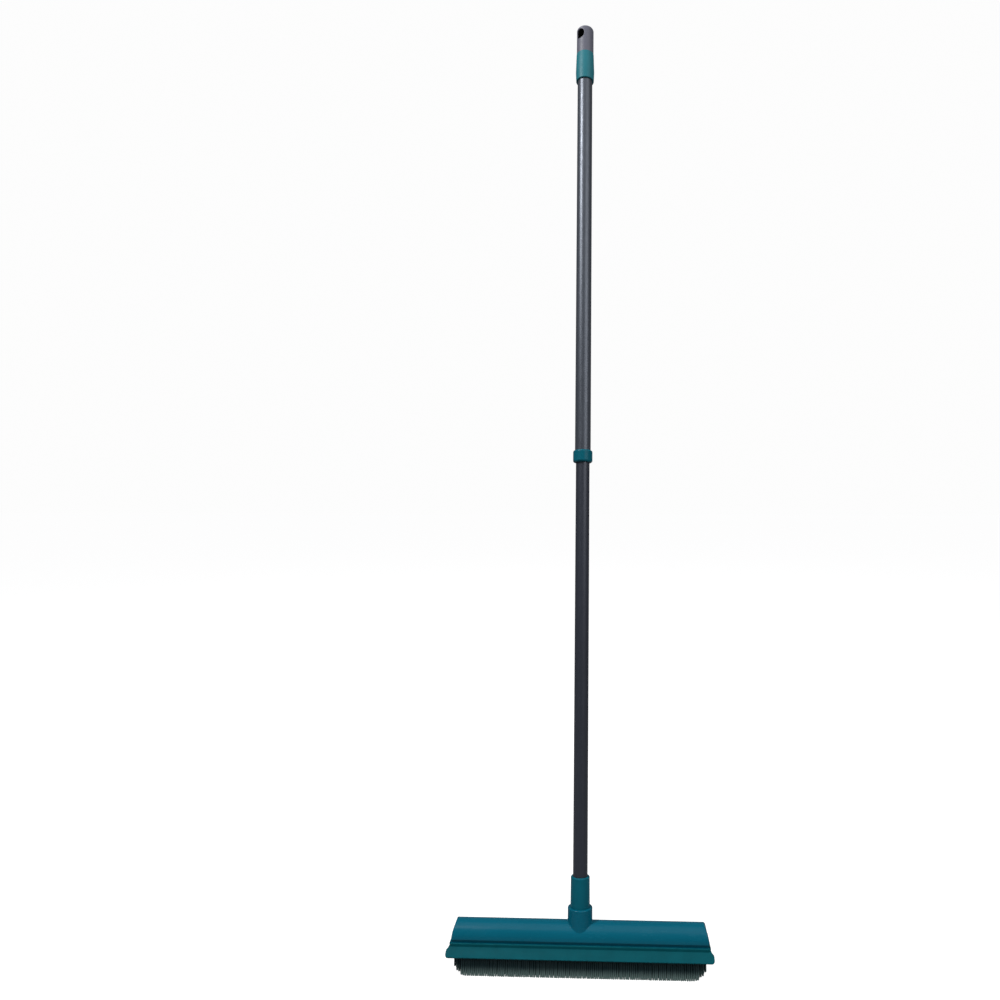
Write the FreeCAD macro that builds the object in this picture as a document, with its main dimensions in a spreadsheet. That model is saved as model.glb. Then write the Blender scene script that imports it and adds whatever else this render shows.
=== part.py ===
import FreeCAD, Part
import math
import os
import re

import Sketcher
from FreeCAD import Placement, Rotation, Vector

# A rubber carpet broom on a two-section telescopic pole, in millimetres.
# X runs along the head, +Z is up and the squeegee blade faces -Y. The origin is on the
# floor, under the middle of the head. The pole leans towards +Y; the pole's pieces are
# drawn upright around their own Z axis and then leaned, so "station" below means a
# distance along the pole, measured up from the middle of the head cover's arch.

SIZES = {
    "lean_angle": (8, "pole from the vertical, degrees"),
    # head cover
    "arch_height": (39.6, "floor to the centre of the cover's arch"),
    "cover_radius": (18, "outside of the cover's arch"),
    "cover_wall": (2.8, "thickness of the cover"),
    "cover_base": (30.8, "floor to the cover's lower edge"),
    "cover_half": (163, "half the cover's length at its base"),
    "ridge_half": (158.3, "half the cover's length along its ridge"),
    "cover_corner": (2, "rounding round the cover's ends"),
    "cavity_half": (155.5, "half the length of the hollow in the cover"),
    "rib_thick": (1.6, "cross rib inside the cover"),
    "rib_spacing": (38, "cross rib to cross rib"),
    "rib_count": (7, "cross ribs"),
    "end_bulge": (45, "radius of the cover's ends, seen from the front"),
    "catch_depth": (0.9, "snap groove round the cover"),
    "catch_low": (32.2, "floor to the snap groove's lower edge"),
    "catch_high": (34, "floor to the snap groove's upper edge"),
    "shade_depth": (1.6, "open groove round the cover, above the rubber rim"),
    "shade_low": (36.2, "floor to the open groove's lower edge"),
    "shade_high": (40.6, "floor to the open groove's upper edge"),
    # socket
    "socket_radius": (15.9, "outside of the socket"),
    "socket_top": (34.5, "station of the socket's rim"),
    "socket_foot": (0, "station where the socket ends inside the cover"),
    "socket_floor": (4, "station of the bottom of the bore"),
    "socket_round": (1, "rounding of the rim"),
    "saddle_round": (1.4, "fillet where the socket meets the cover"),
    # rubber sole and its stiffener
    "sole_under": (28, "floor to the underside of the sole"),
    "rim_wall": (1.8, "thickness of the rim round the cover"),
    "rim_top": (36.8, "floor to the top of the rim"),
    "rim_corner": (3, "rounding of the rim's corners, seen from above"),
    "rim_round": (0.8, "rounding of the rim's top edge"),
    "plate_thick": (2.4, "stiffener inside the sole"),
    "plate_gap": (0.3, "stiffener to the cover's wall"),
    "plate_slot_half": (12, "half the length of a weight-saving slot in the stiffener"),
    "plate_slot_radius": (6, "end radius of such a slot"),
    # squeegee blade
    "blade_half": (168.2, "half the blade's length, over its pointed ends"),
    "blade_reach": (30, "middle of the head to the blade's edge"),
    "blade_edge_high": (25.3, "floor to the upper corner of the blade's edge"),
    "blade_edge_low": (23.9, "floor to the lower corner of the blade's edge"),
    "blade_root_high": (34.2, "floor to the top of the blade's root"),
    "blade_root_low": (29.6, "floor to the bottom of the blade's root"),
    "blade_hollow": (30, "radius of the blade's hollow upper face"),
    "ear_high": (34.8, "floor to where an ear leaves the rim"),
    "ear_low": (29.4, "floor to the upper side of an ear's point"),
    "ear_hollow": (9, "radius of an ear's hollow upper edge"),
    "ear_round": (4, "rounding of an ear's point, seen from above"),
    # bristles
    "bristle_half": (157.6, "half the length of the bristle field, at its roots"),
    "bristle_depth": (19.6, "half the depth of the bristle field, at its roots"),
    "bristle_corner": (16, "corner radius of the bristle field, at its roots"),
    "bristle_splay": (12, "outer bristles from the vertical, degrees"),
    # lower pole
    "lower_radius": (9.5, "outside of the lower tube"),
    "upper_radius": (11, "outside of the upper tube"),
    "tube_wall": (0.6, "steel of both tubes"),
    "lower_foot": (44, "station of the lower tube's foot"),
    "lower_top": (676, "station of the lower tube's top"),
    "adapter_top": (71.8, "station of the adapter's top"),
    "adapter_radius": (12.5, "adapter above its shoulder, at the foot"),
    "adapter_neck": (12.2, "adapter at the top"),
    "adapter_round": (1.2, "rounding of the adapter's top"),
    "thread_foot": (8, "station of the threaded end"),
    "thread_root": (9.4, "radius at the bottom of the thread"),
    "thread_crest": (10.5, "radius at the top of the thread"),
    "thread_pitch": (5, "distance between turns"),
    "thread_width": (2.6, "width of the thread at its root"),
    "thread_run": (22, "length of the thread"),
    "bore_gap": (0.3, "thread crest to socket bore"),
    # twist lock
    "plug_length": (24, "lock plug inside the lower tube"),
    "flange_thick": (1.5, "flange that sits on the tube's end"),
    "flange_radius": (9.3, "flange of the lock plug"),
    "cone_small": (4, "screw cone at the flange"),
    "cone_large": (6.6, "screw cone at the top"),
    "cone_length": (28, "screw cone"),
    "sleeve_radius": (10.3, "split sleeve"),
    "sleeve_gap": (0.1, "sleeve to cone, and sleeve to tube bore"),
    "sleeve_slot": (1.6, "width of a slot in the sleeve"),
    "sleeve_land": (6, "uncut length at the sleeve's foot"),
    # upper pole
    "collar_foot": (615.8, "station of the collar's foot"),
    "collar_length": (17, "collar"),
    "collar_radius": (13.5, "outside of the collar"),
    "collar_round": (2.6, "rounding of the collar's ends"),
    "collar_lip": (2.5, "inward lip under the upper tube"),
    "guide_gap": (0.15, "collar lip to lower tube"),
    "ring_foot": (1197.5, "station of the top ring's foot"),
    "ring_waist": (1212, "station of the ring's widest place"),
    "ring_top": (1241.3, "station of the ring's top"),
    "ring_foot_radius": (13.2, "ring at its foot"),
    "ring_waist_radius": (13.8, "ring at its widest"),
    "ring_top_radius": (12.9, "ring at its top"),
    "cap_top": (1283.7, "station of the hanging cap's top"),
    "cap_radius": (12.6, "outside of the hanging cap"),
    "cap_round": (3.6, "rounding of the cap's top"),
    "cap_plug": (16, "plug of the cap inside the tube"),
    "cap_bore": (7.6, "hollow in the plug"),
    "eye_station": (1271, "station of the hanging eye's middle"),
    "eye_radius": (6.4, "end radius of the hanging eye"),
    "eye_straight": (1.2, "half the straight side of the hanging eye"),
    "eye_turn": (40, "hanging eye from the blade's side, degrees"),
    "eye_round": (0.7, "rounding of the hanging eye"),
}

doc = FreeCAD.newDocument("carpet_broom")


def formula(text):
    """The expression for a formula of sheet cells, such as "cover_radius - cover_wall"."""
    return re.sub(r"[a-z_]{4,}", lambda cell: "Sizes." + cell.group(), text)


def make_sheet():
    """Keep every driving size in a spreadsheet cell with an alias."""
    sheet = doc.addObject("Spreadsheet::Sheet", "Sizes")
    for row, (alias, (value, note)) in enumerate(SIZES.items(), start=1):
        sheet.set(f"A{row}", alias)
        sheet.set(f"B{row}", str(value))
        sheet.set(f"C{row}", note)
        sheet.setAlias(f"B{row}", alias)
    doc.recompute()


def make_ruler():
    """A scratch object that works formulas out, to place sketch corners."""
    ruler = doc.addObject("App::FeaturePython", "Ruler")
    ruler.addProperty("App::PropertyFloat", "Reading")
    return ruler


def measure(text):
    """The number that a formula of sheet cells gives."""
    ruler.setExpression("Reading", formula(text))
    ruler.recompute()
    return ruler.Reading


def bind(thing, **sizes):
    """Bind properties of an object to formulas of sheet cells."""
    for name, text in sizes.items():
        thing.setExpression(name, formula(text))


def make_body(name):
    body = doc.addObject("PartDesign::Body", name)
    body.Label = name
    return body


def attach(thing, body, role, station="0"):
    """Attach a sketch or primitive to one of its own body's origin planes."""
    plane = next(f for f in body.Origin.OriginFeatures if f.Role == role)
    thing.AttachmentSupport = [(plane, "")]
    thing.MapMode = "FlatFace"
    thing.setExpression("AttachmentOffset.Base.z", formula(station))
    return thing


def arc_between(start, end, radius):
    """An arc of the given radius, anticlockwise if the radius is positive, and which of
    its ends is the start of travel."""
    chord = end - start
    side = Vector(chord.y, -chord.x, 0).normalize() * math.copysign(1, radius)
    half = chord.Length / 2
    rise = abs(radius) - math.sqrt(max(radius * radius - half * half, 0))
    top = (start + end) * 0.5 + side * rise
    if radius > 0:
        return Part.Arc(start, top, end), 1
    return Part.Arc(end, top, start), 2


def draw(sketch, corners):
    """Draw one closed outline. A corner is two formulas, across and up; a third one is
    the radius of the arc that leads on from it, negative for a clockwise arc."""
    places = [Vector(measure(c[0]), measure(c[1]), 0) for c in corners]
    first = sketch.GeometryCount
    starts = []
    for number, corner in enumerate(corners):
        start = places[number]
        end = places[(number + 1) % len(places)]
        edge, start_end = Part.LineSegment(start, end), 1
        if len(corner) == 3:
            edge, start_end = arc_between(start, end, measure(corner[2]))
        sketch.addGeometry(edge, False)
        starts.append(start_end)
    for number, corner in enumerate(corners):
        edge = first + number
        following = (number + 1) % len(corners)
        sketch.addConstraint(
            Sketcher.Constraint(
                "Coincident", edge, 3 - starts[number], first + following, starts[following]
            )
        )
        for kind, text, value in (
            ("DistanceX", corner[0], places[number].x),
            ("DistanceY", corner[1], places[number].y),
        ):
            pin = sketch.addConstraint(
                Sketcher.Constraint(kind, -1, 1, edge, starts[number], value)
            )
            sketch.setExpression(f"Constraints[{pin}]", formula(text))
        if len(corner) == 3:
            radius = corner[2].lstrip("-")
            size = sketch.addConstraint(Sketcher.Constraint("Radius", edge, measure(radius)))
            sketch.setExpression(f"Constraints[{size}]", formula(radius))


def sketch_on(body, name, role, *outlines):
    sketch = attach(body.newObject("Sketcher::SketchObject", name), body, role)
    for corners in outlines:
        draw(sketch, corners)
    return sketch


def volume_so_far(body):
    """Volume of the body's tip, zero while the body is empty."""
    doc.recompute()
    return body.Tip.Shape.Volume if body.Tip else 0


def confirm(body, before, cut):
    """Stop unless the newest feature took volume away, for a cut, or added some."""
    change = volume_so_far(body) - before
    if (change >= 0) if cut else (change <= 0):
        raise RuntimeError(f"{body.Tip.Label} changed the volume by {change:.3f} mm3")


def extrude(body, kind, sketch, length, symmetric=False, backwards=False):
    """Pad a sketch along its normal or pocket it against its normal, or both ways."""
    before = volume_so_far(body)
    feature = body.newObject(f"PartDesign::{kind}", f"{sketch.Name}_{kind.lower()}")
    feature.Profile = sketch
    bind(feature, Length=length)
    feature.SideType = "Symmetric" if symmetric else "One side"
    feature.Reversed = backwards
    sketch.Visibility = False
    confirm(body, before, kind == "Pocket")
    return feature


def turn(body, name, cut, low, high, radius, radius_high=None, placed=None):
    """Add or cut a round length between two stations, tapered when it has two radii."""
    before = volume_so_far(body)
    shape = "Cylinder" if radius_high is None else "Cone"
    kind = ("Subtractive" if cut else "Additive") + shape
    solid = attach(body.newObject(f"PartDesign::{kind}", name), body, "XY_Plane", low)
    bind(solid, Height=f"({high}) - ({low})")
    if radius_high is None:
        bind(solid, Radius=radius)
    else:
        bind(solid, Radius1=radius, Radius2=radius_high)
    if placed:
        placed(solid, low)
    confirm(body, before, cut)
    return solid


def round_edges(body, name, radius, chosen):
    """Fillet the edges of the body's tip that a test picks."""
    doc.recompute()
    base = body.Tip
    edges = [f"Edge{i}" for i, e in enumerate(base.Shape.Edges, start=1) if chosen(e)]
    fillet = body.newObject("PartDesign::Fillet", name)
    fillet.Base = (base, edges)
    bind(fillet, Radius=radius)
    doc.recompute()


def ring_edge(station, radius):
    """A test for the full circle at this station and of this radius."""
    high, wide = measure(station), measure(radius)

    def chosen(edge):
        if not isinstance(edge.Curve, Part.Circle):
            return False
        return abs(edge.Curve.Center.z - high) < 0.01 and abs(edge.Curve.Radius - wide) < 0.01

    return chosen


def lean(body):
    """Stand a pole piece on the head: up to the arch's centre, then leaned back."""
    body.setExpression("Placement.Base.z", formula("arch_height"))
    body.Placement.Rotation = Rotation(Vector(1, 0, 0), -measure("lean_angle"))


def lean_inside(solid, station):
    """Lean a primitive of an upright body as the pole leans."""
    solid.AttachmentOffset = Placement(Vector(), Rotation(Vector(1, 0, 0), -measure("lean_angle")))
    across = f"({station}) * sin(lean_angle * 1deg)"
    up = f"arch_height + ({station}) * cos(lean_angle * 1deg)"
    solid.setExpression("AttachmentOffset.Base.y", formula(across))
    solid.setExpression("AttachmentOffset.Base.z", formula(up))


def rectangle(half_across, low, high):
    """Corners of an upright rectangle that is centred across."""
    return [
        (f"-({half_across})", low),
        (half_across, low),
        (half_across, high),
        (f"-({half_across})", high),
    ]


def rounded_rectangle(half_long, half_wide, corner):
    """Corners of a plan rectangle with round corners, all formulas."""
    return [
        (f"-({half_long}) + {corner}", f"-({half_wide})"),
        (f"{half_long} - {corner}", f"-({half_wide})", corner),
        (half_long, f"-({half_wide}) + {corner}"),
        (half_long, f"{half_wide} - {corner}", corner),
        (f"{half_long} - {corner}", half_wide),
        (f"-({half_long}) + {corner}", half_wide, corner),
        (f"-({half_long})", f"{half_wide} - {corner}"),
        (f"-({half_long})", f"-({half_wide}) + {corner}", corner),
    ]


def long_slot(middle, half_straight, radius):
    """Corners of a slot along the sketch's level axis, with half-round ends."""
    right, left = f"{middle} + {half_straight}", f"{middle} - {half_straight}"
    return [
        (left, f"-{radius}"),
        (right, f"-{radius}", radius),
        (f"{right} + {radius}", "0", radius),
        (right, radius),
        (left, radius, radius),
        (f"{left} - {radius}", "0", radius),
    ]


def arch(radius, base):
    """Cross-section of the cover: a half circle on straight legs."""
    return [
        (f"-({radius})", base),
        (radius, base),
        (radius, "arch_height", radius),
        ("0", f"arch_height + {radius}", radius),
        (f"-({radius})", "arch_height"),
    ]


def mirrored(corners):
    """The same outline on the other side of the sketch's upright axis."""
    swapped = []
    for across, up, *radius in corners:
        turned = [r.lstrip("-") if r.startswith("-") else f"-{r}" for r in radius]
        swapped.append((f"-({across})", up, *turned))
    return swapped


def make_head_cover():
    """Hollow half-round cover with cross ribs and the pole socket, one moulding."""
    body = make_body("head_cover")
    section = sketch_on(body, "cover_section", "YZ_Plane", arch("cover_radius", "cover_base"))
    extrude(body, "Pad", section, "2 * cover_half", symmetric=True)

    crest = "arch_height + cover_radius"
    beyond_end = [
        ("cover_half", "arch_height"),
        ("cover_half + cover_wall", "arch_height"),
        ("cover_half + cover_wall", f"{crest} + cover_wall"),
        ("ridge_half", f"{crest} + cover_wall"),
        ("ridge_half", crest, "-end_bulge"),
    ]
    ends = sketch_on(body, "cover_ends", "XZ_Plane", beyond_end, mirrored(beyond_end))
    extrude(body, "Pocket", ends, "4 * cover_radius", symmetric=True)
    ridge_half, base = measure("ridge_half"), measure("cover_base")
    round_edges(
        body,
        "cover_end_rounding",
        "cover_corner",
        lambda e: e.BoundBox.XLength < 8 and abs(e.CenterOfMass.x) > ridge_half
        and e.BoundBox.ZMax > base + 0.1,
    )

    hollow = sketch_on(
        body,
        "cover_hollow",
        "YZ_Plane",
        arch("cover_radius - cover_wall", "cover_base - cover_wall"),
    )
    extrude(body, "Pocket", hollow, "2 * cavity_half", symmetric=True)

    rib = attach(
        body.newObject("Sketcher::SketchObject", "cross_rib"),
        body,
        "YZ_Plane",
        "-(rib_count - 1) * rib_spacing / 2",
    )
    draw(rib, arch("cover_radius - cover_wall / 2", "cover_base + plate_thick + plate_gap"))
    web = extrude(body, "Pad", rib, "rib_thick", symmetric=True)
    doc.recompute()
    ribs = body.newObject("PartDesign::LinearPattern", "cross_ribs")
    ribs.Originals = [web]
    ribs.Direction = (rib, ["N_Axis"])
    bind(ribs, Length="(rib_count - 1) * rib_spacing")
    ribs.Occurrences = round(measure("rib_count"))
    body.Tip = ribs

    for name in ("catch", "shade"):
        groove = attach(
            body.newObject("Sketcher::SketchObject", f"{name}_groove"),
            body,
            "XY_Plane",
            f"{name}_high",
        )
        draw(groove, rectangle("cover_half + cover_wall", "-2 * cover_radius", "2 * cover_radius"))
        deep = f"cover_radius - {name}_depth"
        draw(groove, rectangle(f"cover_half - {name}_depth", f"-({deep})", deep))
        extrude(body, "Pocket", groove, f"{name}_high - {name}_low")

    add_socket(body)
    return body


def add_socket(body):
    """Leaned round socket that blends into the cover, with the bore for the pole."""
    turn(
        body,
        "socket",
        False,
        "socket_foot",
        "socket_top",
        "socket_radius",
        placed=lean_inside,
    )
    socket_radius, cover_radius = measure("socket_radius"), measure("cover_radius")
    arch_height = measure("arch_height")
    round_edges(
        body,
        "socket_rim_rounding",
        "socket_round",
        lambda e: isinstance(e.Curve, Part.Circle)
        and abs(e.Curve.Radius - socket_radius) < 0.01
        and e.CenterOfMass.z > arch_height + cover_radius,
    )
    round_edges(
        body,
        "socket_saddle_rounding",
        "saddle_round",
        lambda e: not isinstance(e.Curve, (Part.Circle, Part.Line))
        and abs(e.CenterOfMass.x) < socket_radius
        and all(
            abs(math.hypot(p.y, p.z - arch_height) - cover_radius) < 0.01
            for p in e.discretize(5)
        ),
    )
    turn(
        body,
        "socket_bore",
        True,
        "socket_floor",
        "socket_top + socket_round",
        "thread_crest + bore_gap",
        placed=lean_inside,
    )


def make_stiffener():
    """Stiff plate that keeps the rubber sole flat under the cover's ribs."""
    body = make_body("sole_stiffener")
    plan = attach(
        body.newObject("Sketcher::SketchObject", "plate_plan"), body, "XY_Plane", "cover_base"
    )
    draw(
        plan,
        rounded_rectangle(
            "(cavity_half - plate_gap)", "(cover_radius - cover_wall - plate_gap)", "cover_corner"
        ),
    )
    slots = round(measure("rib_count")) - 1
    for slot in range(slots):
        middle = f"({slot} - {(slots - 1) / 2}) * rib_spacing"
        draw(plan, long_slot(middle, "plate_slot_half", "plate_slot_radius"))
    extrude(body, "Pad", plan, "plate_thick")
    return body


def make_rubber_sole():
    """Rubber tray that snaps over the cover, with the squeegee blade along its front."""
    body = make_body("rubber_sole")
    plan = attach(
        body.newObject("Sketcher::SketchObject", "sole_plan"), body, "XY_Plane", "sole_under"
    )
    half_long, half_wide = "(cover_half + rim_wall)", "(cover_radius + rim_wall)"
    draw(plan, rounded_rectangle(half_long, half_wide, "rim_corner"))
    extrude(body, "Pad", plan, "rim_top - sole_under")
    top = measure("rim_top")
    round_edges(
        body,
        "rim_rounding",
        "rim_round",
        lambda e: abs(e.BoundBox.ZMin - top) < 0.01,
    )
    for name, high, low, inset in (
        ("mouth", "rim_top + rim_round", "catch_high", "0"),
        ("bead", "catch_high", "catch_low", "catch_depth"),
        ("seat", "catch_low", "cover_base", "0"),
    ):
        step = attach(body.newObject("Sketcher::SketchObject", name), body, "XY_Plane", high)
        across, deep = f"cover_half - {inset}", f"cover_radius - {inset}"
        draw(step, rectangle(across, f"-({deep})", deep))
        extrude(body, "Pocket", step, f"{high} - {low}")

    root = "-(cover_radius + rim_wall / 2)"
    blade = sketch_on(
        body,
        "blade_section",
        "YZ_Plane",
        [
            (root, "blade_root_low"),
            (root, "blade_root_high", "-blade_hollow"),
            ("-blade_reach", "blade_edge_high"),
            ("-blade_reach + rim_round", "blade_edge_low"),
        ],
    )
    extrude(body, "Pad", blade, "2 * blade_half", symmetric=True)
    above_ear = [
        (half_long, "ear_high", "ear_hollow"),
        ("blade_half", "ear_low"),
        ("blade_half + rim_wall", "ear_low"),
        ("blade_half + rim_wall", "ear_high + rim_wall"),
        (half_long, "ear_high + rim_wall"),
    ]
    ears = sketch_on(body, "ear_trim", "XZ_Plane", above_ear, mirrored(above_ear))
    extrude(body, "Pocket", ears, "4 * blade_reach", symmetric=True)
    point, edge_y = measure("blade_half"), measure("-blade_reach + rim_round")
    round_edges(
        body,
        "ear_rounding",
        "ear_round",
        lambda e: abs(abs(e.CenterOfMass.x) - point) < 0.01
        and e.BoundBox.YMax < edge_y + 0.01
        and e.BoundBox.ZLength > 1,
    )
    return body


def make_bristle_field():
    """The space that the soft bristles fill, as one plain block."""
    body = make_body("bristle_field")
    roots = attach(
        body.newObject("Sketcher::SketchObject", "bristle_roots"), body, "XY_Plane", "sole_under"
    )
    draw(roots, rounded_rectangle("bristle_half", "bristle_depth", "bristle_corner"))
    block = extrude(body, "Pad", roots, "sole_under", backwards=True)
    bind(block, TaperAngle="bristle_splay")
    return body


def make_pole_adapter():
    """Ferrule on the lower tube, with the coarse thread that screws into the head."""
    body = make_body("pole_adapter")
    turn(body, "ferrule", False, "socket_top", "adapter_top", "adapter_radius", "adapter_neck")
    round_edges(body, "ferrule_lip", "adapter_round", ring_edge("adapter_top", "adapter_neck"))
    turn(body, "thread_core", False, "thread_foot", "socket_top", "thread_root")
    turn(body, "tube_seat", True, "lower_foot", "adapter_top + 1", "lower_radius")
    turn(body, "core_hollow", True, "thread_foot - 1", "lower_foot - cover_wall", "cap_bore")
    low = "(thread_foot + 1)"
    tooth = sketch_on(
        body,
        "thread_tooth",
        "XZ_Plane",
        [
            ("thread_root - bore_gap", low),
            ("thread_crest", f"{low} + thread_width * 0.3"),
            ("thread_crest", f"{low} + thread_width * 0.7"),
            ("thread_root - bore_gap", f"{low} + thread_width"),
        ],
    )
    thread = body.newObject("PartDesign::AdditiveHelix", "coarse_thread")
    thread.Profile = tooth
    thread.ReferenceAxis = (tooth, ["V_Axis"])
    thread.Mode = "pitch-height-angle"
    bind(thread, Pitch="thread_pitch", Height="thread_run")
    tooth.Visibility = False
    return body


def make_tube(name, low, high, radius):
    body = make_body(name)
    turn(body, f"{name}_outside", False, low, high, radius)
    turn(body, f"{name}_bore", True, low, high, f"{radius} - tube_wall")
    return body


def make_lock_plug():
    """Plug in the lower tube's top, with the tapered screw that spreads the sleeve."""
    body = make_body("lock_plug")
    flange_top = "lower_top + flange_thick"
    turn(body, "stem", False, "lower_top - plug_length", "lower_top", "lower_radius - tube_wall")
    turn(body, "flange", False, "lower_top", flange_top, "flange_radius")
    cone_top = f"{flange_top} + cone_length"
    turn(body, "screw_cone", False, flange_top, cone_top, "cone_small", "cone_large")
    return body


def make_lock_sleeve():
    """Split sleeve round the screw cone; spread by it, it grips the upper tube's bore."""
    body = make_body("lock_sleeve")
    foot = "lower_top + flange_thick + bore_gap"
    rise = "(cone_large - cone_small) / cone_length"
    top = "lower_top + flange_thick + cone_length - bore_gap"
    turn(body, "sleeve_outside", False, foot, top, "sleeve_radius")
    turn(
        body,
        "sleeve_bore",
        True,
        foot,
        top,
        f"cone_small + {rise} * bore_gap + sleeve_gap",
        f"cone_large - {rise} * bore_gap + sleeve_gap",
    )
    doc.recompute()
    slot = attach(
        body.newObject("PartDesign::SubtractiveBox", "sleeve_slot_cut"),
        body,
        "XY_Plane",
        f"{foot} + sleeve_land",
    )
    bind(slot, Length="2 * sleeve_radius", Width="sleeve_slot", Height="cone_length")
    slot.setExpression("AttachmentOffset.Base.y", formula("-sleeve_slot / 2"))
    doc.recompute()
    slots = body.newObject("PartDesign::PolarPattern", "sleeve_slots")
    slots.Originals = [slot]
    slots.Axis = (next(f for f in body.Origin.OriginFeatures if f.Role == "Z_Axis"), [""])
    slots.Angle = 360
    slots.Occurrences = 4
    body.Tip = slots
    return body


def make_guide_collar():
    """Collar on the upper tube's foot; its lip guides the lower tube."""
    body = make_body("guide_collar")
    top = "collar_foot + collar_length"
    turn(body, "collar_outside", False, "collar_foot", top, "collar_radius")
    round_edges(
        body, "collar_rounding_low", "collar_round", ring_edge("collar_foot", "collar_radius")
    )
    round_edges(body, "collar_rounding_high", "collar_round", ring_edge(top, "collar_radius"))
    turn(body, "collar_seat", True, "collar_foot + collar_lip", top, "upper_radius")
    turn(
        body,
        "collar_guide",
        True,
        "collar_foot",
        "collar_foot + collar_lip",
        "lower_radius + guide_gap",
    )
    return body


def make_top_ring():
    """Coloured ring round the upper tube's top."""
    body = make_body("top_ring")
    waist = "ring_waist_radius"
    turn(body, "ring_lower", False, "ring_foot", "ring_waist", "ring_foot_radius", waist)
    turn(body, "ring_upper", False, "ring_waist", "ring_top", waist, "ring_top_radius")
    round_edges(body, "ring_foot_lip", "rim_round", ring_edge("ring_foot", "ring_foot_radius"))
    turn(body, "ring_bore", True, "ring_foot", "ring_top", "upper_radius")
    return body


def make_hanging_cap():
    """End cap with a long eye for hanging the broom, plugged into the upper tube."""
    body = make_body("hanging_cap")
    turn(body, "cap_outside", False, "ring_top", "cap_top", "cap_radius")
    round_edges(body, "cap_top_rounding", "cap_round", ring_edge("cap_top", "cap_radius"))
    foot = "ring_top - cap_plug"
    turn(body, "cap_stem", False, foot, "ring_top", "upper_radius - tube_wall")
    turn(body, "stem_hollow", True, foot, "ring_top + rim_round", "cap_bore")
    eye = attach(body.newObject("Sketcher::SketchObject", "eye"), body, "XZ_Plane")
    turned = Rotation(Vector(0, 1, 0), -measure("eye_turn"))
    upright = Rotation(Vector(0, 0, 1), 90)
    eye.AttachmentOffset = Placement(Vector(), turned * upright)
    draw(eye, long_slot("eye_station", "eye_straight", "eye_radius"))
    extrude(body, "Pocket", eye, "4 * cap_radius", symmetric=True)
    bottom = measure("eye_station - eye_straight - eye_radius")
    top = measure("eye_station + eye_straight + eye_radius")
    reach = measure("eye_radius")
    round_edges(
        body,
        "eye_rounding",
        "eye_round",
        lambda e: bottom - 0.1 < e.BoundBox.ZMin
        and e.BoundBox.ZMax < top + 0.1
        and not isinstance(e.Curve, Part.Line)
        and e.BoundBox.DiagonalLength < 4 * reach
        and e.CenterOfMass.distanceToPoint(Vector(0, 0, e.CenterOfMass.z)) > reach,
    )
    return body


def check(bodies):
    """Stop if any object failed or any piece's shape is null or invalid."""
    doc.recompute()
    for thing in doc.Objects:
        if {"Invalid", "Error"} & set(thing.State):
            raise RuntimeError(f"{thing.Label} failed: {thing.getStatusString()}")
    for body in bodies:
        if body.Shape.isNull() or not body.Shape.isValid():
            raise RuntimeError(f"{body.Label} has no valid shape")


def write(bodies):
    os.makedirs("parts", exist_ok=True)
    for body in bodies:
        body.Shape.exportStep(f"parts/{body.Label}.step")
        box = body.Shape.BoundBox
        solids = len(body.Shape.Solids)
        print(
            f"{body.Label}: {solids} solid, {body.Shape.Volume / 1000:.2f} cm3, "
            f"X {box.XMin:.1f}..{box.XMax:.1f}, Y {box.YMin:.1f}..{box.YMax:.1f}, "
            f"Z {box.ZMin:.1f}..{box.ZMax:.1f}"
        )


make_sheet()
ruler = make_ruler()
head = [make_head_cover(), make_stiffener(), make_rubber_sole(), make_bristle_field()]
pole = [
    make_pole_adapter(),
    make_tube("lower_tube", "lower_foot", "lower_top", "lower_radius"),
    make_lock_plug(),
    make_lock_sleeve(),
    make_tube("upper_tube", "collar_foot + collar_lip", "ring_top", "upper_radius"),
    make_guide_collar(),
    make_top_ring(),
    make_hanging_cap(),
]
for pole_piece in pole:
    lean(pole_piece)
doc.removeObject(ruler.Name)
check(head + pole)
write(head + pole)
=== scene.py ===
# Looks of the rubber carpet broom: its bristles, rubber, glossy cover and painted pole,
# in metres, in the same frame as the CAD model.

import math
import random

import bpy
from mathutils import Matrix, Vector, noise


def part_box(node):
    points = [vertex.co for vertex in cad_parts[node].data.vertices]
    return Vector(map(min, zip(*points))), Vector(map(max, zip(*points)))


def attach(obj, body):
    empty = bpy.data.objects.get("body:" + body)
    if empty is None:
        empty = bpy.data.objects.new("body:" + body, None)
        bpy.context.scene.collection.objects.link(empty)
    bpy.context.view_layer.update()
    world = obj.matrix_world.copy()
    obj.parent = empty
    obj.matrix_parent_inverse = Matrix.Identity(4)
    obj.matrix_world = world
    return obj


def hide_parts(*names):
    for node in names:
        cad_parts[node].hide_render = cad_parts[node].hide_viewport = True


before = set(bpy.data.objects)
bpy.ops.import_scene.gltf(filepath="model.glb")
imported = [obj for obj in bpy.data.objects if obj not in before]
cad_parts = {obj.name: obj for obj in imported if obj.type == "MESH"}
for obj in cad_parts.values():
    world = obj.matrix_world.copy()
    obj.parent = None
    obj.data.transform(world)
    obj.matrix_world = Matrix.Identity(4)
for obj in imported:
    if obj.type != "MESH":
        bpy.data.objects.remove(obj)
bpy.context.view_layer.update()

MM = 0.001
LEAN = math.radians(8)
POLE_FOOT = Vector((0, 0, 39.6 * MM))
POLE_AXIS = Vector((0, math.sin(LEAN), math.cos(LEAN)))


# ---------------------------------------------------------------- materials

# Places of the colour sockets on Blender's Mix node, which has one set for each data type.
MIX_SHARE = 0
MIX_FIRST = 6
MIX_SECOND = 7
MIX_RESULT = 2


def srgb(red, green, blue):
    """Linear colour from the 0 to 255 values that a picture editor shows."""
    def linear(value):
        share = value / 255
        return share / 12.92 if share <= 0.04045 else ((share + 0.055) / 1.055) ** 2.4

    return (linear(red), linear(green), linear(blue), 1)


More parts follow.
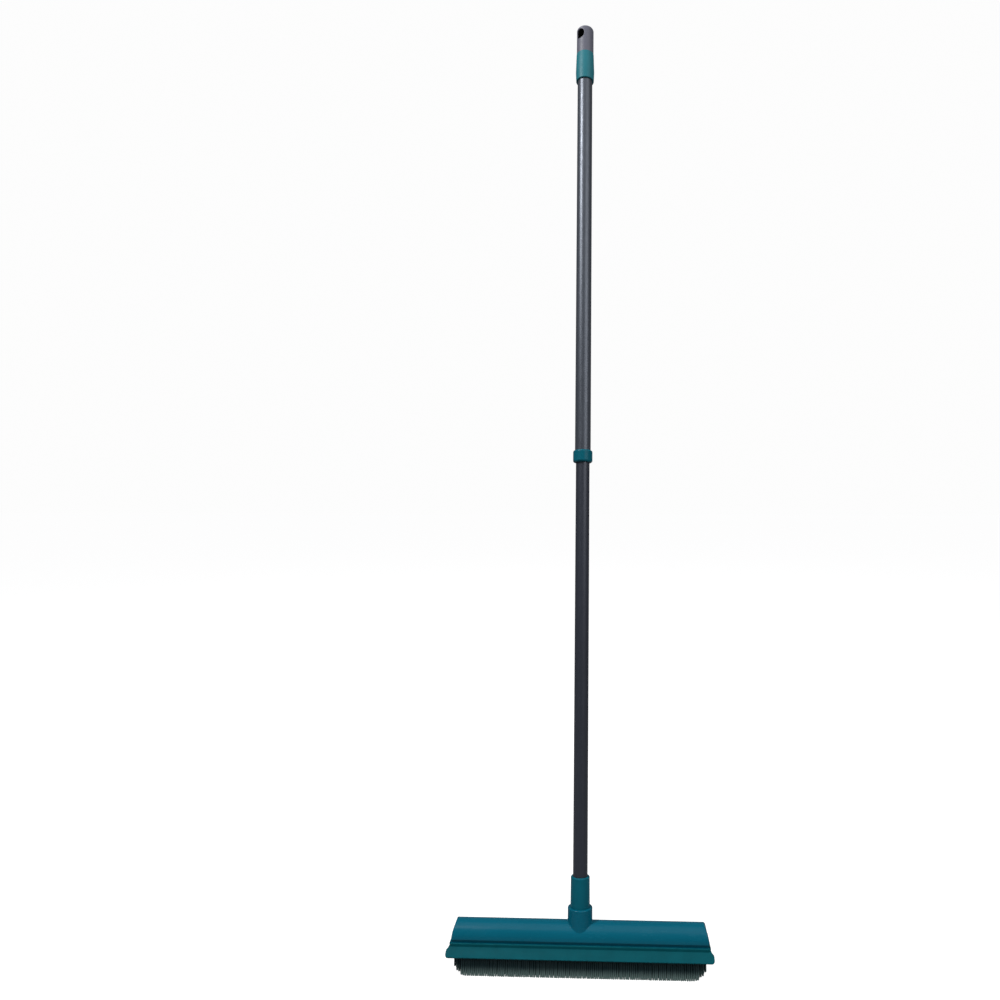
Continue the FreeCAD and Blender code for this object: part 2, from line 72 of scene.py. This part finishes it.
class Shader:
    """A Principled material whose nodes are added one call at a time."""

    def __init__(self, name, **constants):
        self.material = bpy.data.materials.new(name)
        self.material.use_nodes = True
        self.tree = self.material.node_tree
        self.shader = self.tree.nodes["Principled BSDF"]
        for socket, value in constants.items():
            self.shader.inputs[socket.replace("_", " ")].default_value = value
        self.place = self.add("ShaderNodeTexCoord").outputs["Object"]

    def add(self, kind, **settings):
        node = self.tree.nodes.new(kind)
        for setting, value in settings.items():
            setattr(node, setting, value)
        return node

    def link(self, source, target):
        self.tree.links.new(source, target)

    def grain(self, scale, detail=2.0, stretch=(1, 1, 1), roughness=0.5):
        """Noise over the surface, finer with a larger scale, in 1/metre."""
        mapping = self.add("ShaderNodeMapping")
        mapping.inputs["Scale"].default_value = stretch
        self.link(self.place, mapping.inputs["Vector"])
        cloud = self.add("ShaderNodeTexNoise")
        cloud.inputs["Scale"].default_value = scale
        cloud.inputs["Detail"].default_value = detail
        cloud.inputs["Roughness"].default_value = roughness
        self.link(mapping.outputs["Vector"], cloud.inputs["Vector"])
        return cloud.outputs["Fac"]

    def height(self):
        """Height of the surface point above the floor, in metres."""
        parts = self.add("ShaderNodeSeparateXYZ")
        self.link(self.place, parts.inputs["Vector"])
        return parts.outputs["Z"]

    def from_pole(self):
        """Distance of the surface point from the pole's middle line, in metres."""
        offset = self.add("ShaderNodeVectorMath", operation="SUBTRACT")
        self.link(self.place, offset.inputs[0])
        offset.inputs[1].default_value = POLE_FOOT
        across = self.add("ShaderNodeVectorMath", operation="CROSS_PRODUCT")
        self.link(offset.outputs["Vector"], across.inputs[0])
        across.inputs[1].default_value = POLE_AXIS
        length = self.add("ShaderNodeVectorMath", operation="LENGTH")
        self.link(across.outputs["Vector"], length.inputs[0])
        return length.outputs["Value"]

    def spread(self, source, low, high, start=0.3, end=0.7):
        """Turn a source between start and end into a value between low and high.

        The usual start and end are where nearly all values of a noise lie.
        """
        ramp = self.add("ShaderNodeMapRange")
        ramp.inputs["From Min"].default_value = start
        ramp.inputs["From Max"].default_value = end
        ramp.inputs["To Min"].default_value = low
        ramp.inputs["To Max"].default_value = high
        self.link(source, ramp.inputs["Value"])
        return ramp.outputs["Result"]

    def mix(self, share, first, second):
        """Blend two colours, each a tuple or another node's output."""
        blend = self.add("ShaderNodeMix", data_type="RGBA")
        self.link(share, blend.inputs[MIX_SHARE])
        for place, colour in ((MIX_FIRST, first), (MIX_SECOND, second)):
            if isinstance(colour, tuple):
                blend.inputs[place].default_value = colour
            else:
                self.link(colour, blend.inputs[place])
        return blend.outputs[MIX_RESULT]

    def paint(self, colour):
        self.link(colour, self.shader.inputs["Base Color"])

    def roughen(self, source, least, extra):
        """Roughness that follows a noise output from the least up by the extra."""
        self.link(self.spread(source, least, least + extra), self.shader.inputs["Roughness"])

    def bump(self, *layers):
        """Stack bumps, each a noise output with its height in metres."""
        normal = None
        for height_source, height in layers:
            node = self.add("ShaderNodeBump")
            node.inputs["Strength"].default_value = 1.0
            node.inputs["Distance"].default_value = height
            self.link(height_source, node.inputs["Height"])
            if normal:
                self.link(normal, node.inputs["Normal"])
            normal = node.outputs["Normal"]
        self.link(normal, self.shader.inputs["Normal"])


def moulded_plastic(name, main, shade, gloss, painted_shade_radius=None, **constants):
    """Moulded plastic: slow colour drift, rub marks in the gloss, a faint mould texture.

    Given a radius, the surface nearer to the pole's middle line than that is painted nearly
    black: painted shade standing in for the dark inside of a deep cap.
    """
    look = Shader(name, **constants)
    drift = look.grain(scale=14, detail=3, stretch=(0.4, 1, 1))
    colour = look.mix(look.spread(drift, 0, 1), main, shade)
    if painted_shade_radius:
        # Painted shade: nearly black inside the given radius round the pole's middle line.
        painted_eye_shade = look.spread(look.from_pole(), 1, 0, start=painted_shade_radius - 1 * MM, end=painted_shade_radius)
        colour = look.mix(painted_eye_shade, colour, srgb(14, 15, 20))
    look.paint(colour)
    rub = look.grain(scale=90, detail=6, stretch=(0.25, 1, 1), roughness=0.65)
    look.roughen(rub, gloss, extra=0.12)
    wave = look.grain(scale=28, detail=1, stretch=(0.3, 1, 1))
    mould_texture = look.grain(scale=2400)
    look.bump((wave, 0.02 * MM), (mould_texture, 0.0025 * MM))
    return look.material


def soft_rubber(name, main, shade, gloss):
    """Rubber: matt, with a little bloom and a fine skin."""
    look = Shader(name, Specular_IOR_Level=0.04)
    bloom = look.grain(scale=45, detail=5, roughness=0.6)
    look.paint(look.mix(look.spread(bloom, 0, 1), main, shade))
    look.roughen(look.grain(scale=160, detail=4), gloss, extra=0.15)
    wave = look.grain(scale=60, detail=2)
    skin = look.grain(scale=1500, detail=2)
    look.bump((wave, 0.03 * MM), (skin, 0.006 * MM))
    return look.material


def bristle_rubber(name, root, tip, painted_light_height):
    """Rubber of the bristles: near black at the roots as painted shade under the blade,
    lighter and greyer from the given height down to the floor as painted light on the tips,
    with a faint random dust.
    """
    look = Shader(name, Specular_IOR_Level=0.3)
    # Painted light and shade: from the lighter grey tip colour at the floor to the near black
    # root colour at the given height and above.
    painted_tip_light = look.spread(look.height(), 1, 0, start=0, end=painted_light_height)
    dusty = look.spread(look.grain(scale=120, detail=3), 0, 0.08)
    share = look.add("ShaderNodeMath", operation="ADD", use_clamp=True)
    look.link(painted_tip_light, share.inputs[0])
    look.link(dusty, share.inputs[1])
    look.paint(look.mix(share.outputs["Value"], root, tip))
    look.roughen(look.grain(scale=300), 0.5, extra=0.2)
    skin = look.grain(scale=1800, detail=2)
    look.bump((skin, 0.01 * MM))
    return look.material


def painted_steel(name, main, shade, gloss, metal):
    """Painted tube: fine metallic flake, long faint draw marks, rubbed patches."""
    look = Shader(name, Metallic=metal, Specular_IOR_Level=0.5)
    flake = look.grain(scale=3200, detail=1)
    patch = look.grain(scale=10, detail=4, stretch=(1, 1, 0.3))
    tone = look.mix(look.spread(patch, 0, 1), main, shade)
    glint = tuple(min(1, 1.25 * part) for part in main[:3]) + (1,)
    look.paint(look.mix(look.spread(flake, 0, 0.5), tone, glint))
    draw_marks = look.grain(scale=500, detail=3, stretch=(1, 1, 0.01))
    look.roughen(draw_marks, gloss, extra=0.1)
    paint_skin = look.grain(scale=900, detail=2)
    look.bump((draw_marks, 0.002 * MM), (paint_skin, 0.002 * MM))
    return look.material


def dress(node, material):
    """Give a CAD node that stays visible its material."""
    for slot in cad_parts[node].material_slots:
        slot.material = material


# ---------------------------------------------------------------- bristles

BRISTLE_ROWS = 13
ROW_PITCH = 3.05 * MM
BRISTLE_PITCH = 2.55 * MM
# From the end of the CAD block to the middle of the last bristle.
END_MARGIN = 4.16 * MM
# Radius of the field's corners, seen from above.
CORNER = 10 * MM

BRISTLE_SIDES = 6
BRISTLE_RINGS = 5
ROOT_RADIUS = 1.3 * MM
ROOT_FLARE = 0.5 * MM
TIP_RADIUS = 1.25 * MM
# Rings of the round tip: share of the tip's radius, and reach past the tip in tip radii.
TIP_RINGS = ((0.9, 0.4), (0.55, 0.7))
# Length kept free below the tip, in tip radii, so that its round end stays above the floor.
TIP_ROOM = 0.75

# The outer rows lean most to the front and back; the middle row stands straight.
SPLAY = math.radians(14)
SPLAY_GROWTH = 1.3
# Towards the ends of the field the bristles get shorter by up to the cut, over the run.
END_CUT = 6.5 * MM
END_RUN = 20 * MM

# Unevenness of single bristles, and the sway that neighbours share.
LENGTH_SPREAD = 0.2 * MM
TIP_STRAY_X = 0.3 * MM
TIP_STRAY_Y = 0.2 * MM
BEND_SHARE = 0.55
BEND_STRAY_X = 0.7 * MM
BEND_STRAY_Y = 0.4 * MM
SWAY_SCALE = 35
TIP_SWAY = 0.9 * MM
BEND_SWAY = 1.5 * MM

# Share of the bristles' height, from the floor up, over which they run from the lighter grey
# tip colour to the near black root colour: painted light on the tips and painted shade under
# the blade.
PAINTED_LIGHT_SHARE = 0.42


def ring_around(middle, radius):
    """Corners of one level ring of a bristle."""
    for side in range(BRISTLE_SIDES):
        turn = 2 * math.pi * side / BRISTLE_SIDES
        yield middle + Vector((math.cos(turn), math.sin(turn), 0)) * radius


def bristle_mesh(lines):
    """All bristles as one mesh: slightly bent fingers with flared roots and round tips."""
    vertices, faces = [], []
    for root, bend, tip in lines:
        first = len(vertices)
        for ring in range(BRISTLE_RINGS):
            share = ring / (BRISTLE_RINGS - 1)
            middle = root.lerp(bend, share).lerp(bend.lerp(tip, share), share)
            radius = ROOT_RADIUS + (TIP_RADIUS - ROOT_RADIUS) * share
            flare = 0 if ring else ROOT_FLARE
            vertices.extend(ring_around(middle, radius + flare))
        along = (tip - bend).normalized()
        for shrink, reach in TIP_RINGS:
            vertices.extend(ring_around(tip + along * TIP_RADIUS * reach, TIP_RADIUS * shrink))
        last = len(vertices) - BRISTLE_SIDES
        for ring_start in range(first, last, BRISTLE_SIDES):
            for side in range(BRISTLE_SIDES):
                here = ring_start + side
                beside = ring_start + (side + 1) % BRISTLE_SIDES
                faces.append((here, here + BRISTLE_SIDES, beside + BRISTLE_SIDES, beside))
        faces.append(tuple(last + side for side in reversed(range(BRISTLE_SIDES))))
        faces.append(tuple(first + side for side in range(BRISTLE_SIDES)))
    mesh = bpy.data.meshes.new("bristles")
    mesh.from_pydata(vertices, [], faces)
    mesh.shade_smooth()
    return mesh


def bristle_places(half_long, half_deep):
    """Middles of the bristles from above: staggered rows with rounded corners."""
    for row in range(BRISTLE_ROWS):
        y = row * ROW_PITCH - half_deep
        shift = BRISTLE_PITCH / 2 if row % 2 else 0
        count = int((half_long + shift) / BRISTLE_PITCH)
        for column in range(-count - 1, count + 2):
            x = column * BRISTLE_PITCH + shift
            past_x = max(0, abs(x) - half_long + CORNER)
            past_y = max(0, abs(y) - half_deep + CORNER)
            if math.hypot(past_x, past_y) <= CORNER:
                yield x, y


def bristle_lines():
    """Root, bend and tip of every bristle, in the space of the CAD block."""
    low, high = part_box("bristle_field")
    half_long = high.x - END_MARGIN
    half_deep = (BRISTLE_ROWS - 1) / 2 * ROW_PITCH
    full_length = high.z - low.z - TIP_ROOM * TIP_RADIUS
    draw = random.Random(7)
    for x, y in bristle_places(half_long, half_deep):
        end_share = max(0, abs(x) - half_long + END_RUN) / END_RUN
        freedom = 1 - end_share
        length = full_length - draw.uniform(0, LENGTH_SPREAD) - END_CUT * end_share**2
        lean = math.tan(SPLAY) * math.copysign(abs(y / half_deep) ** SPLAY_GROWTH, y)
        sway = noise.noise(Vector((x * SWAY_SCALE, y * SWAY_SCALE, 0)))
        root = Vector((x, y, high.z))
        aside = (draw.uniform(-TIP_STRAY_X, TIP_STRAY_X) + TIP_SWAY * sway) * freedom
        outwards = length * lean + draw.uniform(-TIP_STRAY_Y, TIP_STRAY_Y)
        tip = root + Vector((aside, outwards, -length))
        bend = root.lerp(tip, BEND_SHARE)
        bend.x += (draw.uniform(-BEND_STRAY_X, BEND_STRAY_X) + BEND_SWAY * sway) * freedom
        bend.y += draw.uniform(-BEND_STRAY_Y, BEND_STRAY_Y)
        yield root, bend, tip


def grow_bristles():
    """Replace the CAD block with separate bristles that ride on the head."""
    low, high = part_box("bristle_field")
    piece = bpy.data.objects.new("bristles", bristle_mesh(bristle_lines()))
    bpy.context.scene.collection.objects.link(piece)
    piece.data.materials.append(
        bristle_rubber(
            "bristle_rubber",
            # Root colour near black as painted shade under the blade; tip colour lighter and
            # greyer as painted light on the lower ends.
            root=srgb(0, 38, 43),
            tip=srgb(104, 124, 121),
            painted_light_height=PAINTED_LIGHT_SHARE * (high.z - low.z),
        )
    )
    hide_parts("bristle_field")
    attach(piece, "head")


# ---------------------------------------------------------------- stage

FLOOR_SIZE = 60
FLOOR_GREY = (0.3, 0.3, 0.3, 1)
FLOOR_GLOW = 0.94
SEEN_BACKDROP = (0.98, 0.98, 0.98, 1)
ROOM_LIGHT = (0.14, 0.14, 0.145, 1)

CAMERA_LENS = 27.0
CAMERA_SHIFT = -0.0819
CAMERA_PLACE = (0.0382, -0.9604, 0.5973)
CAMERA_TURN = (90, -0.045, 2.154)


def make_floor():
    """A plain pale floor, large enough to reach the horizon.

    It glows to the camera's rays only, so that it stays pale far away and throws little
    light up at the bristles.
    """
    bpy.ops.mesh.primitive_plane_add(size=FLOOR_SIZE, location=(0, 0, 0))
    floor = bpy.context.object
    floor.name = "floor"
    look = Shader("pale_floor", Roughness=0.9, Specular_IOR_Level=0.0)
    look.shader.inputs["Base Color"].default_value = FLOOR_GREY
    look.shader.inputs["Emission Color"].default_value = (1, 1, 1, 1)
    path = look.add("ShaderNodeLightPath")
    glow = look.add("ShaderNodeMath", operation="MULTIPLY")
    look.link(path.outputs["Is Camera Ray"], glow.inputs[0])
    glow.inputs[1].default_value = FLOOR_GLOW
    look.link(glow.outputs["Value"], look.shader.inputs["Emission Strength"])
    floor.data.materials.append(look.material)


def make_backdrop():
    """Near white to the camera's rays, and a weak grey light from all around."""
    world = bpy.data.worlds.new("studio")
    bpy.context.scene.world = world
    world.use_nodes = True
    nodes, links = world.node_tree.nodes, world.node_tree.links
    nodes.clear()
    seen = nodes.new("ShaderNodeBackground")
    seen.inputs["Color"].default_value = SEEN_BACKDROP
    lit = nodes.new("ShaderNodeBackground")
    lit.inputs["Color"].default_value = ROOM_LIGHT
    path = nodes.new("ShaderNodeLightPath")
    mixed = nodes.new("ShaderNodeMixShader")
    output = nodes.new("ShaderNodeOutputWorld")
    links.new(path.outputs["Is Camera Ray"], mixed.inputs["Fac"])
    links.new(lit.outputs["Background"], mixed.inputs[1])
    links.new(seen.outputs["Background"], mixed.inputs[2])
    links.new(mixed.outputs["Shader"], output.inputs["Surface"])


def make_light(name, place, aim, size, power):
    """A square soft box that points at a spot, with its power in watts."""
    data = bpy.data.lights.new(name, "AREA")
    data.size = size
    data.energy = power
    light = bpy.data.objects.new(name, data)
    light.location = place
    light.rotation_euler = (Vector(aim) - Vector(place)).to_track_quat("-Z", "Y").to_euler()
    bpy.context.scene.collection.objects.link(light)


def make_camera():
    """Level camera in front of the head, a little below half the broom's height."""
    data = bpy.data.cameras.new("camera")
    data.lens = CAMERA_LENS
    data.shift_x = CAMERA_SHIFT
    camera = bpy.data.objects.new("camera", data)
    camera.location = CAMERA_PLACE
    camera.rotation_euler = tuple(math.radians(angle) for angle in CAMERA_TURN)
    bpy.context.scene.collection.objects.link(camera)
    bpy.context.scene.camera = camera


# ---------------------------------------------------------------- the broom

cover_look = moulded_plastic(
    "cover_plastic",
    main=srgb(6, 92, 113),
    shade=srgb(5, 85, 105),
    gloss=0.2,
    Specular_IOR_Level=0.12,
)
adapter_look = moulded_plastic(
    "adapter_plastic",
    main=srgb(5, 91, 107),
    shade=srgb(4, 84, 99),
    gloss=0.32,
    Specular_IOR_Level=0.12,
)
ring_look = moulded_plastic(
    "ring_plastic",
    main=srgb(27, 104, 115),
    shade=srgb(22, 97, 108),
    gloss=0.45,
    Specular_IOR_Level=0.2,
)
cap_look = moulded_plastic(
    "cap_plastic",
    main=srgb(88, 89, 101),
    shade=srgb(79, 80, 92),
    gloss=0.42,
    # Painted shade: nearly black within 11.8 mm of the pole's middle line, for the inside of
    # the eye; this takes in the cap's flat top too.
    painted_shade_radius=11.8 * MM,
    Specular_IOR_Level=0.3,
)
inner_look = moulded_plastic(
    "inner_plastic", main=srgb(205, 205, 200), shade=srgb(190, 190, 184), gloss=0.45
)
sole_look = soft_rubber("sole_rubber", main=srgb(6, 79, 88), shade=srgb(5, 72, 81), gloss=0.42)
lower_look = painted_steel(
    "lower_steel", main=srgb(50, 54, 64), shade=srgb(43, 47, 56), gloss=0.36, metal=0.35
)
upper_look = painted_steel(
    "upper_steel", main=srgb(69, 74, 83), shade=srgb(61, 66, 74), gloss=0.34, metal=0.45
)

for node, look in (
    ("head_cover", cover_look),
    ("rubber_sole", sole_look),
    ("sole_stiffener", inner_look),
    ("pole_adapter", adapter_look),
    ("lower_tube", lower_look),
    ("lock_plug", inner_look),
    ("lock_sleeve", inner_look),
    ("upper_tube", upper_look),
    ("guide_collar", adapter_look),
    ("top_ring", ring_look),
    ("hanging_cap", cap_look),
):
    dress(node, look)

grow_bristles()

make_floor()
make_backdrop()
make_light("key", place=(-1.25, -0.8, 2.4), aim=(0, 0.1, 0.9), size=0.5, power=48)
make_light("fill", place=(1.5, -1.3, 1.9), aim=(0, 0.1, 0.8), size=1.6, power=30)
make_light("top", place=(0, -0.4, 3.2), aim=(0, 0, 0), size=3.0, power=30)
make_camera()
bpy.context.scene.view_settings.view_transform = "Standard"
